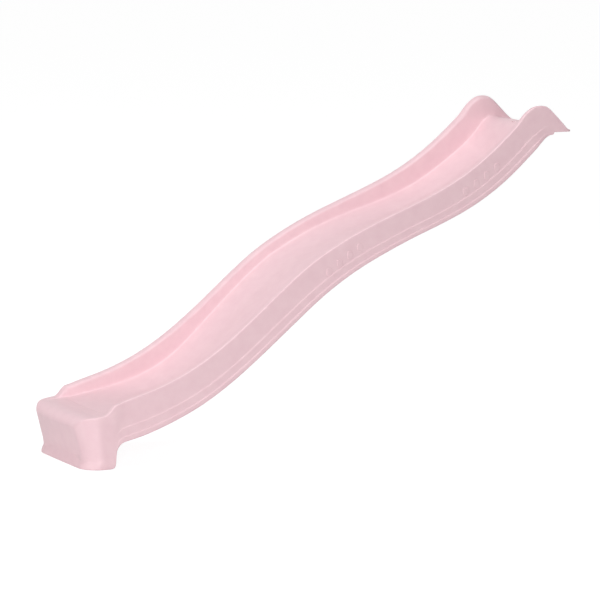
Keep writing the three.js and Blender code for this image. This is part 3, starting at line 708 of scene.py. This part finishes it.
def moulding_recesses(nozzle_run, nozzle_seat, nut_seat):
    """All that is cut into the skin: screw recesses, nozzle seats, plug holes, tack-offs."""
    hole, recess = SCREW_SHANK / 2 + 2 * CLEARANCE, RECESS_WIDTH / 2
    seat = LIP_TOP - RECESS_DEPTH
    cutters = []
    for side in (-1, 1):
        cutter = turned("screw_recess", [(hole, LIP_HEIGHT - OVERRUN), (hole, seat),
                                         (recess, seat), (recess, LIP_TOP + OVERRUN)])
        cutters.append(set_down(cutter, SCREW_RUN, side * SCREW_SPACING / 2, 0))
    port = STEM_WIDTH / 2 + CLEARANCE
    under, flange = NUT_WASHER_WIDTH / 2 + CLEARANCE, NOZZLE_FLANGE / 2 + CLEARANCE
    nut_end = nut_seat - NUT_WASHER_THICKNESS - NUT_HEIGHT - 4 * CLEARANCE
    cutter = turned("nozzle_seats", [
        (under, nut_end), (under, nut_seat), (port, nut_seat), (port, nozzle_seat),
        (flange, nozzle_seat), (flange, nozzle_seat + 2 * OVERRUN)])
    cutters.append(set_down(cutter, nozzle_run, 0, 0))
    hole = PLUG_WIDTH / 2 + CLEARANCE
    for share in PLUG_SHARES.values():
        run, height, tilt = underside_seat(share)
        cutter = turned("plug_hole", [(hole, -OVERRUN), (hole, PLUG_DEPTH + 2 * CLEARANCE)])
        cutters.append(set_down(cutter, run, 0, height, tilt))
    mouth, end = TACK_WIDTH / 2, TACK_WIDTH / 3
    for share in TACK_SHARES:
        run, height, tilt = underside_seat(share)
        sheet = (UNDERSIDE_DIP + SHEET_DEPTH - TROUGH_DEPTH
                 - eased(FLOOR_SINKS, run) / stretch(run))
        deep = sheet - SKIN
        cutter = turned("tack_off", [(mouth * width, low) for width, low in TACK_MOUTH_PROFILE]
                        + [(end * width, deep * rise) for width, rise in TACK_END_PROFILE])
        cutters.append(set_down(cutter, run, 0, height, tilt, TACK_LENGTH / TACK_WIDTH))
    return join(cutters)


def raised_pads():
    """Rows of small raised pads on both outer walls, modelled once and copied."""
    deselect()
    bpy.ops.mesh.primitive_plane_add(size=MM, rotation=(math.pi / 2, 0, 0))
    pad = bpy.context.object
    pad.scale = PAD_WIDTH, PAD_LENGTH, 1
    bpy.ops.object.transform_apply(location=False, rotation=True, scale=True)
    bpy.ops.object.mode_set(mode="EDIT")
    bpy.ops.mesh.select_all(action="SELECT")
    bpy.ops.mesh.bevel(offset=PAD_WIDTH * PAD_CORNER_SHARE * MM, segments=PAD_CORNER_STEPS,
                       affect="VERTICES")
    bpy.ops.mesh.select_all(action="SELECT")
    out = (0, -(PAD_ROOT + PAD_RISE * PAD_SIDE_SHARE) * MM, 0)
    bpy.ops.mesh.extrude_region_move(TRANSFORM_OT_translate={"value": out})
    bpy.ops.mesh.inset(thickness=PAD_RISE * MM, depth=PAD_RISE * PAD_SLOPE_SHARE * MM)
    bpy.ops.mesh.select_all(action="SELECT")
    bpy.ops.mesh.normals_make_consistent(inside=False)
    bpy.ops.object.mode_set(mode="OBJECT")
    copies = []
    for first, last in PAD_ROWS:
        for i in range(PADS_IN_ROW):
            t = i / (PADS_IN_ROW - 1)
            run, height = mix(first[0], last[0], t), mix(first[1], last[1], t)
            for side in (-1, 1):
                copy = pad.copy()
                copy.data = pad.data.copy()
                bpy.context.scene.collection.objects.link(copy)
                copy.rotation_euler.z = 0 if side < 0 else math.pi
                copy.location = in_frame(run, side * (wall_side(run) - PAD_ROOT), height)
                apply_place(copy)
                copies.append(copy)
    bpy.data.objects.remove(pad)
    return join(copies)


def moulding(nozzle_run, nozzle_seat, nut_seat):
    piece = moulding_skin()
    combine(piece, raised_pads(), "UNION")
    combine(piece, moulding_recesses(nozzle_run, nozzle_seat, nut_seat), "DIFFERENCE")
    smooth_by_angle(piece)
    return piece


def lip_screw(name, side):
    """A pan head screw with a hexagon socket, a waisted core and a winding thread."""
    core, shank, head = SCREW_CORE / 2, SCREW_SHANK / 2, SCREW_HEAD_WIDTH / 2
    plain = -SCREW_LENGTH * SCREW_PLAIN_SHARE
    outline = [(SCREW_TIP, -SCREW_LENGTH)]
    outline += [(core * width, -SCREW_LENGTH * share) for width, share in SCREW_TAPER]
    outline += [(core, plain - 1), (shank, plain), (shank, 0)]
    outline += [(head * width, SCREW_HEAD_HEIGHT * rise) for width, rise in SCREW_HEAD_PROFILE]
    screw = turned(name, outline)
    socket, deep = SCREW_SOCKET / 2, SCREW_HEAD_HEIGHT - SCREW_SOCKET_DEPTH
    key = turned("socket", [(socket, deep), (socket, SCREW_HEAD_HEIGHT + 1)], 6)
    combine(screw, key, "DIFFERENCE")
    thread_end = -SCREW_LENGTH * SCREW_THREAD_SHARE
    ridge = thread_ridge(core, shank, SCREW_PITCH, thread_end, plain - 1)
    screw = join([screw, ridge])
    smooth_by_angle(screw)
    head_seat = LIP_TOP - RECESS_DEPTH + WASHER_THICKNESS + 2 * CLEARANCE
    return set_down(screw, SCREW_RUN, side, head_seat)


def flat_ring(name, width, bore, low, thickness, edge=FINE_EDGE):
    """A washer: its outline goes once round the ring's cut and meets itself."""
    outside, inside, high = width / 2, bore / 2, low + thickness
    outline = [(inside, low), (outside, low), (outside, high), (inside, high), (inside, low)]
    return fine_edges(turned(name, outline), edge)


def lip_screw_lid(name, side):
    """The flush lid, with a shallow ring in its top and a notch to lift it by."""
    radius = RECESS_WIDTH / 2 - CLEARANCE
    inside, low = radius - LID_SKIRT, LIP_TOP - RECESS_DEPTH + CLEARANCE
    groove = LIP_TOP - LID_THICKNESS * LID_RING_SHARE
    ring_heights = [LIP_TOP, groove, groove, LIP_TOP]
    lid = turned(name, [
        (inside, LIP_TOP - LID_THICKNESS), (inside, low), (radius, low),
        (radius, LIP_TOP - LID_THICKNESS / 2), (radius - LID_THICKNESS / 2, LIP_TOP),
    ] + [(radius - inset, height) for inset, height in zip(LID_RING_INSETS, ring_heights)])
    deselect()
    bpy.ops.mesh.primitive_cube_add(size=MM, location=(-radius * MM, 0, LIP_TOP * MM),
                                    scale=LID_NOTCH)
    combine(lid, bpy.context.object, "DIFFERENCE")
    smooth_by_angle(lid)
    return set_down(lid, SCREW_RUN, side, 0)


def spray_nozzle(name, run, nozzle_seat, nut_seat):
    """The domed flange with its fan of jets and a rim round its seal, over a threaded stem."""
    flange = nozzle_seat + SEAL_THICKNESS + 2 * CLEARANCE
    end = nut_seat - NUT_WASHER_THICKNESS - NUT_HEIGHT - 3 * CLEARANCE - STEM_TAIL
    edge, stem, core, bore = NOZZLE_FLANGE / 2, STEM_WIDTH / 2, STEM_CORE / 2, NOZZLE_BORE / 2
    chamber = flange + NOZZLE_DOME / 2
    seal_room, rim = SEAL_WIDTH / 2 + CLEARANCE, nozzle_seat + CLEARANCE
    nozzle = turned(name, [
        (bore, chamber), (bore, end), (core, end), (core, nut_seat), (stem, nut_seat + 1),
        (stem, flange), (seal_room, flange), (seal_room, rim), (edge, rim),
    ] + [(edge * share, flange + NOZZLE_DOME * rise) for share, rise in NOZZLE_PROFILE])
    holes = []
    for i in range(JET_COUNT):
        jet = turned("jet", [(NOZZLE_JET / 2, 0), (NOZZLE_JET / 2, NOZZLE_FLANGE)], JET_SIDES)
        jet.rotation_euler = 0, math.pi / 2, math.pi + JET_FAN * (i / (JET_COUNT - 1) - 0.5)
        jet.location.z = (flange + NOZZLE_JET / 2 - JET_SINK) * MM
        holes.append(jet)
    for side in (-1, 1):
        pin_hole = turned("pin_hole", [(PIN_HOLE / 2, flange + NOZZLE_DOME / 2),
                                       (PIN_HOLE / 2, flange + NOZZLE_DOME + 1)], PIN_HOLE_SIDES)
        pin_hole.location.y = side * edge * PIN_HOLE_SHARE * MM
        holes.append(pin_hole)
    for hole in holes:
        apply_place(hole)
    combine(nozzle, join(holes), "DIFFERENCE")
    ridge = thread_ridge(core, stem, STEM_PITCH, end + STEM_PITCH, nut_seat)
    nozzle = join([nozzle, ridge])
    smooth_by_angle(nozzle)
    return set_down(nozzle, run, 0, 0)


def nozzle_nut(name, run, high):
    """A hexagon nut with its corners turned off, and a plain bore."""
    half = NUT_ACROSS / 2
    corner = half / math.cos(math.pi / 6)
    low = high - NUT_HEIGHT
    nut = turned(name, [(corner, low), (corner, high)], 6)
    flat, fall = half - NUT_FACE_INSET, (corner - half) * NUT_CORNER_SHARE
    barrel = turned("corner_turning", [(flat, low), (corner, low + fall), (corner, high - fall),
                                       (flat, high)])
    combine(nut, barrel, "INTERSECT")
    bore = STEM_WIDTH / 2 + CLEARANCE
    mouth = [(bore + wide, low + rise) for wide, rise in NUT_BORE_CHAMFER]
    mouth += [(bore + wide, high - rise) for wide, rise in reversed(NUT_BORE_CHAMFER)]
    combine(nut, turned("nut_bore", mouth), "DIFFERENCE")
    fine_edges(nut)
    return set_down(nut, run, 0, 0)


def hose_tail(name, run, collar_top):
    """A ribbed collar that carries three barbs for a garden hose."""
    collar, stem = TAIL_COLLAR / 2, STEM_WIDTH / 2 + CLEARANCE
    barb, neck, bore = TAIL_BARB / 2, TAIL_NECK / 2, NOZZLE_BORE / 2
    collar_low = collar_top - STEM_TAIL - TAIL_SHOULDER
    end = collar_low - TAIL_LENGTH
    pitch = TAIL_LENGTH / (BARB_COUNT + 1)
    outline = [(bore, end)]
    for i in range(BARB_COUNT):
        low = end + i * pitch
        outline.append((neck, low))
        outline += [(barb - inset, low + pitch * share) for inset, share in BARB_PROFILE]
        outline.append((neck, low + pitch * BARB_END_SHARE))
    shoulder = collar_top - STEM_TAIL - CLEARANCE
    outline += [(neck, collar_low - 1), (neck + 1, collar_low), (collar - 1, collar_low),
                (collar, collar_low + 1), (collar, collar_top - 1), (collar - 0.5, collar_top),
                (stem, collar_top), (stem, shoulder), (bore, shoulder), (bore, end)]
    tail = turned(name, outline, RIB_SIDES)
    grip_ribs(tail, collar_low + 1, collar_top - 1)
    smooth_by_angle(tail, FINE_SMOOTH_ANGLE)
    return set_down(tail, run, 0, 0)


def hose_tail_cap(name, run, collar_top):
    """The ribbed cap over the barbs, closed at its lower end."""
    inside = TAIL_BARB / 2 + CLEARANCE
    outside = inside + CAP_WALL
    end = collar_top - STEM_TAIL - TAIL_SHOULDER - TAIL_LENGTH - CLEARANCE
    low, high = end - CAP_WALL, end + CAP_COVER
    outline = [(inside, end), (inside, high)]
    outline += [(outside - inset, high + rise) for inset, rise in CAP_MOUTH_PROFILE]
    outline += [(outside - inset, low + rise) for inset, rise in CAP_END_PROFILE]
    cap = turned(name, outline, RIB_SIDES)
    grip_ribs(cap, low + 1.5, high - 3.5)
    smooth_by_angle(cap, FINE_SMOOTH_ANGLE)
    return set_down(cap, run, 0, 0)


def blow_hole_plug(name, share):
    """A push-in plug with a barbed rim inside and a dished flange outside."""
    flange, body = PLUG_FLANGE / 2, PLUG_WIDTH / 2
    face = -CLEARANCE - PLUG_FLANGE_THICKNESS
    outline = [(body - PLUG_WALL, 0), (body - PLUG_WALL, PLUG_DEPTH)]
    outline += [(body - inset, PLUG_DEPTH + rise) for inset, rise in PLUG_BARB_PROFILE]
    outline += [(body - PLUG_NECK_INSET, -CLEARANCE), (flange, -CLEARANCE)]
    outline += [(flange - inset, face + rise) for inset, rise in PLUG_FACE_PROFILE]
    outline += [(body, face), (body - PLUG_DISH[0], face + PLUG_DISH[1])]
    plug = turned(name, outline)
    smooth_by_angle(plug, FINE_SMOOTH_ANGLE)
    run, height, tilt = underside_seat(share)
    return set_down(plug, run, 0, height, tilt)


# The finishes: the slide's pink where it is darkest and lightest, and the levels of a noise
# pattern between which a finish goes from its one value to its other
SLIDE_PINK = ("#ebc8cf", "#efced4")
SPOT_LEVELS = (0.3, 0.7)
SPOT_DETAIL = 3.0
POLYETHYLENE_IOR = 1.54
NYLON_IOR = 1.53
RUBBER_IOR = 1.52


def linear(hex_colour):
    """The linear colour of an sRGB hex value."""
    channels = [int(hex_colour[i:i + 2], 16) / 255 for i in (1, 3, 5)]
    turned_linear = [c / 12.92 if c <= 0.04045 else ((c + 0.055) / 1.055) ** 2.4 for c in channels]
    return (*turned_linear, 1)


def add_node(tree, kind, links=(), **settings):
    """Adds a node, sets its properties and input values, and links its inputs."""
    node = tree.nodes.new(kind)
    for name, value in settings.items():
        if name in node.inputs:
            node.inputs[name].default_value = value
        else:
            setattr(node, name, value)
    for name, source in dict(links).items():
        tree.links.new(source, node.inputs[name])
    return node


def noise(tree, place, per_metre, detail):
    """Soft spots, so many of them to the metre."""
    return add_node(tree, "ShaderNodeTexNoise", {"Vector": place}, Scale=per_metre,
                    Detail=detail).outputs["Fac"]


def bump(tree, pattern, depth, under=None):
    """Raises a pattern by a depth in mm, over another bump where one is given."""
    links = {"Height": pattern}
    if under is not None:
        links["Normal"] = under
    return add_node(tree, "ShaderNodeBump", links, Strength=1.0,
                    Distance=depth * MM).outputs["Normal"]


def vary_finish(tree, shader, pattern, dark, light, smooth, rough):
    """Runs the colour and the roughness from one value to the other, as a pattern says."""
    ramp = add_node(tree, "ShaderNodeValToRGB", {"Fac": pattern})
    for element, level, colour in zip(ramp.color_ramp.elements, SPOT_LEVELS, (dark, light)):
        element.position, element.color = level, linear(colour)
    tree.links.new(ramp.outputs["Color"], shader.inputs["Base Color"])
    gloss = add_node(tree, "ShaderNodeMapRange", {"Value": pattern},
                     **{"From Min": SPOT_LEVELS[0], "From Max": SPOT_LEVELS[1],
                        "To Min": smooth, "To Max": rough})
    tree.links.new(gloss.outputs["Result"], shader.inputs["Roughness"])


def new_material(name, **values):
    material = bpy.data.materials.new(name)
    material.use_nodes = True
    tree = material.node_tree
    shader = tree.nodes["Principled BSDF"]
    for socket, value in values.items():
        shader.inputs[socket.replace("_", " ")].default_value = value
    return material, tree, shader


def blow_moulded_polyethylene():
    """High density polyethylene, blow moulded in pale pink: a satin skin, a little uneven
    in colour where its wall is thicker, in shallow waves where it cooled unevenly and with
    the fine grain of a blasted mould."""
    material, tree, shader = new_material("blow_moulded_polyethylene", IOR=POLYETHYLENE_IOR,
                                          Specular_IOR_Level=0.3)
    place = add_node(tree, "ShaderNodeTexCoord").outputs["Object"]
    # Mottling of about 40 mm, as wide as it needs to be to show from several metres away.
    # It also leaves the skin a little glossier where it lay tight on the mould.
    mottle = noise(tree, place, 25.0, SPOT_DETAIL)
    vary_finish(tree, shader, mottle, *SLIDE_PINK, 0.4, 0.48)
    # Cooling waves about 90 mm apart and 0.3 mm deep, half of what the bump is given
    waves = bump(tree, noise(tree, place, 11.0, 1.0), 0.6)
    # Mould grain of 0.5 mm, drawn 4 mm wide so that it shows in the render
    grain = bump(tree, noise(tree, place, 250.0, 2.0), 0.08, waves)
    tree.links.new(grain, shader.inputs["Normal"])
    return material


def grained_finish(name, dark, light, spot, depth, smooth, rough, **values):
    """A material whose colour, gloss and surface vary in spots, of a size and depth in mm."""
    material, tree, shader = new_material(name, **values)
    place = add_node(tree, "ShaderNodeTexCoord").outputs["Object"]
    spots = noise(tree, place, 1 / (spot * MM), SPOT_DETAIL)
    vary_finish(tree, shader, spots, dark, light, smooth, rough)
    tree.links.new(bump(tree, spots, depth), shader.inputs["Normal"])
    return material


def injection_moulded_polyethylene():
    """Polyethylene pressed into small lids and plugs: the slide's pink, a little glossier."""
    return grained_finish("injection_moulded_polyethylene", *SLIDE_PINK, 1.2, 0.01, 0.34, 0.4,
                          IOR=POLYETHYLENE_IOR)


def injection_moulded_nylon():
    """Polyamide fittings, injection moulded: off-white, satin, with a spark-eroded grain."""
    return grained_finish("injection_moulded_nylon", "#dfdcd4", "#ebe8e1", 0.8, 0.02, 0.4, 0.55,
                          IOR=NYLON_IOR)


def colour_matched_nylon():
    """The same polyamide, dyed to match the slide, for the nozzle that shows on the crest."""
    return grained_finish("colour_matched_nylon", "#e6c3c9", "#ebc9cf", 0.8, 0.02, 0.4, 0.55,
                          IOR=NYLON_IOR)


def pressed_rubber():
    """A rubber seal punched from sheet: near black, dull, with a dusting of talc."""
    return grained_finish("pressed_rubber", "#242426", "#38383a", 0.6, 0.03, 0.7, 0.9,
                          IOR=RUBBER_IOR)


def rolled_stainless_steel():
    """Cold headed stainless steel with a rolled thread, tumbled bright."""
    return grained_finish("rolled_stainless_steel", "#b4b6b8", "#c9cbcc", 0.5, 0.004, 0.2, 0.32,
                          Metallic=1.0)


def stamped_stainless_steel():
    """Stainless sheet stamped into washers: duller, with the fine skin of a rolling mill."""
    return grained_finish("stamped_stainless_steel", "#a9abad", "#bfc1c2", 0.7, 0.006, 0.32, 0.45,
                          Metallic=1.0)


def paint(piece, material):
    piece.data.materials.clear()
    piece.data.materials.append(material)


def stand_for(piece, material, node):
    """Gives a piece its finish, hides the node of the frame that it stands for and hangs the piece
    on the root.
    """
    paint(piece, material)
    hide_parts(node)
    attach(piece, "root")


# Camera: the photograph's angle, from the near side of the foot and a little above
CAMERA_AZIMUTH = math.radians(26)
CAMERA_ELEVATION = math.radians(8.10)
CAMERA_DISTANCE = 15
AIM = Vector((-0.9893, 0.0020, -0.6122))
SIGHT_POINT = Vector((-0.961, 0, -0.540))
FOCAL_PIXELS = 3986
FRAME_PIXELS = 600
SENSOR_WIDTH = 36
CAMERA_REACH = 200

# The floor, which glows white to the camera and is matte to the lamps
FLOOR_RADIUS = 80
FLOOR_GAP = 0.5
FLOOR_GLOW = 1.32
FLOOR_GLOW_SHARE = 0.7
FLOOR_GREY = (0.8, 0.8, 0.8, 1)
WHITE = (1, 1, 1, 1)

# Lights
WORLD_LIGHT = 0.25
WORLD_WHITE = 1.0
LAMP_AIM = Vector((-1.3, 0, -0.7))
# Each lamp's power, width and place
LAMPS = {
    "overhead": (425, 4, Vector((-2.8, 0, 9.2))),
    "side": (435, 1.8, Vector((-5.8, -8.7, 1.5))),
    "front": (160, 4, Vector((-10.5, -3, 1.8))),
}


def aim_at(item, target):
    item.rotation_euler = (target - item.location).to_track_quat("-Z", "Y").to_euler()


def make_camera():
    data = bpy.data.cameras.new("camera")
    camera = bpy.data.objects.new("camera", data)
    bpy.context.scene.collection.objects.link(camera)
    bpy.context.scene.camera = camera
    back = Vector((-math.sin(CAMERA_AZIMUTH) * math.cos(CAMERA_ELEVATION),
                   -math.cos(CAMERA_AZIMUTH) * math.cos(CAMERA_ELEVATION),
                   math.sin(CAMERA_ELEVATION)))
    camera.location = SIGHT_POINT + back * CAMERA_DISTANCE
    aim_at(camera, AIM)
    data.sensor_width = SENSOR_WIDTH
    data.lens = data.sensor_width * FOCAL_PIXELS / FRAME_PIXELS
    data.clip_end = CAMERA_REACH


def cleared_nodes(owner):
    """The empty node tree of a material or a world."""
    owner.use_nodes = True
    owner.node_tree.nodes.clear()
    return owner.node_tree


def seen_directly(tree):
    """1 where the camera or a gloss looks and 0 where light spreads."""
    path = add_node(tree, "ShaderNodeLightPath")
    rays = {0: path.outputs["Is Camera Ray"], 1: path.outputs["Is Glossy Ray"]}
    return add_node(tree, "ShaderNodeMath", rays, operation="MAXIMUM").outputs[0]


def mixed_shaders(tree, share, first, second):
    return add_node(tree, "ShaderNodeMixShader", {
        0: share, 1: first.outputs[0], 2: second.outputs[0]}).outputs[0]


def make_stage():
    """A plain white floor that keeps the slide's shadow, and a plain white world."""
    deselect()
    bpy.ops.mesh.primitive_circle_add(vertices=ROUND_SIDES, radius=FLOOR_RADIUS,
                                      fill_type="NGON", location=(0, 0, GROUND - FLOOR_GAP * MM))
    floor = bpy.context.object
    floor.name = "studio_floor"
    material = bpy.data.materials.new("white_floor")
    tree = cleared_nodes(material)
    glow = add_node(tree, "ShaderNodeEmission", Color=WHITE, Strength=FLOOR_GLOW)
    matte = add_node(tree, "ShaderNodeBsdfDiffuse", Color=FLOOR_GREY)
    share = add_node(tree, "ShaderNodeMath", {0: seen_directly(tree)}, operation="MULTIPLY")
    share.inputs[1].default_value = FLOOR_GLOW_SHARE
    mixed = mixed_shaders(tree, share.outputs[0], matte, glow)
    add_node(tree, "ShaderNodeOutputMaterial", {"Surface": mixed})
    paint(floor, material)

    world = bpy.data.worlds.new("studio")
    bpy.context.scene.world = world
    tree = cleared_nodes(world)
    ambient = add_node(tree, "ShaderNodeBackground", Color=WHITE, Strength=WORLD_LIGHT)
    white = add_node(tree, "ShaderNodeBackground", Color=WHITE, Strength=WORLD_WHITE)
    mixed = mixed_shaders(tree, seen_directly(tree), ambient, white)
    add_node(tree, "ShaderNodeOutputWorld", {"Surface": mixed})


def make_lights():
    """Three broad soft lamps: one overhead, one low off the near side, which lays the near
    wall's shadow on the floor, and a weak one in front of the foot."""
    for name, (power, width, place) in LAMPS.items():
        data = bpy.data.lights.new(name, "AREA")
        data.energy = power
        data.size = width
        lamp = bpy.data.objects.new(name, data)
        bpy.context.scene.collection.objects.link(lamp)
        lamp.location = place
        aim_at(lamp, LAMP_AIM)


make_camera()
make_stage()
make_lights()

pink = blow_moulded_polyethylene()
lid_pink = injection_moulded_polyethylene()
nylon = injection_moulded_nylon()
pink_nylon = colour_matched_nylon()
rubber = pressed_rubber()
bright_steel = rolled_stainless_steel()
washer_steel = stamped_stainless_steel()

# The nozzle's seats on and under the crest, as the frame's seal and washer show them
seal_low, nut_washer_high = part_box("nozzle_seal")[0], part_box("nozzle_washer")[1]
nozzle_low, nozzle_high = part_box("spray_nozzle")
nozzle_run = ((nozzle_low.x + nozzle_high.x) / 2 - FRONT) / MM
nozzle_seat = (seal_low.z - GROUND) / MM - CLEARANCE
nut_seat = (nut_washer_high.z - GROUND) / MM + CLEARANCE
nut_top = nut_seat - NUT_WASHER_THICKNESS - 2 * CLEARANCE
collar_top = nut_top - NUT_HEIGHT - CLEARANCE

body = moulding(nozzle_run, nozzle_seat, nut_seat)
stand_for(body, pink, "slide_body")

for row, side in (("near", -SCREW_SPACING / 2), ("far", SCREW_SPACING / 2)):
    screw = lip_screw(f"pan_head_screw_{row}", side)
    stand_for(screw, bright_steel, f"lip_screw_{row}")
    washer = flat_ring(f"screw_washer_{row}", WASHER_WIDTH, SCREW_SHANK + 2 * CLEARANCE,
                       LIP_TOP - RECESS_DEPTH + CLEARANCE, WASHER_THICKNESS)
    set_down(washer, SCREW_RUN, side, 0)
    stand_for(washer, washer_steel, f"lip_washer_{row}")
    lid = lip_screw_lid(f"screw_lid_{row}", side)
    stand_for(lid, lid_pink, f"lip_screw_lid_{row}")

nozzle = spray_nozzle("fan_nozzle", nozzle_run, nozzle_seat, nut_seat)
stand_for(nozzle, pink_nylon, "spray_nozzle")
seal = flat_ring("flange_seal", SEAL_WIDTH, STEM_WIDTH + 2 * CLEARANCE,
                 nozzle_seat + CLEARANCE, SEAL_THICKNESS, SEAL_EDGE)
set_down(seal, nozzle_run, 0, 0)
stand_for(seal, rubber, "nozzle_seal")
backing = flat_ring("nut_washer", NUT_WASHER_WIDTH, STEM_WIDTH + 2 * CLEARANCE,
                    nut_seat - CLEARANCE - NUT_WASHER_THICKNESS, NUT_WASHER_THICKNESS, SEAL_EDGE)
set_down(backing, nozzle_run, 0, 0)
stand_for(backing, nylon, "nozzle_washer")
stand_for(nozzle_nut("lock_nut", nozzle_run, nut_top), nylon, "nozzle_nut")
stand_for(hose_tail("barbed_tail", nozzle_run, collar_top), nylon, "hose_tail")
stand_for(hose_tail_cap("tail_cap", nozzle_run, collar_top), nylon, "hose_tail_cap")
for place, share in PLUG_SHARES.items():
    plug = blow_hole_plug(f"hole_plug_{place}", share)
    stand_for(plug, lid_pink, f"blow_hole_plug_{place}")

bpy.context.scene.view_settings.view_transform = "Standard"
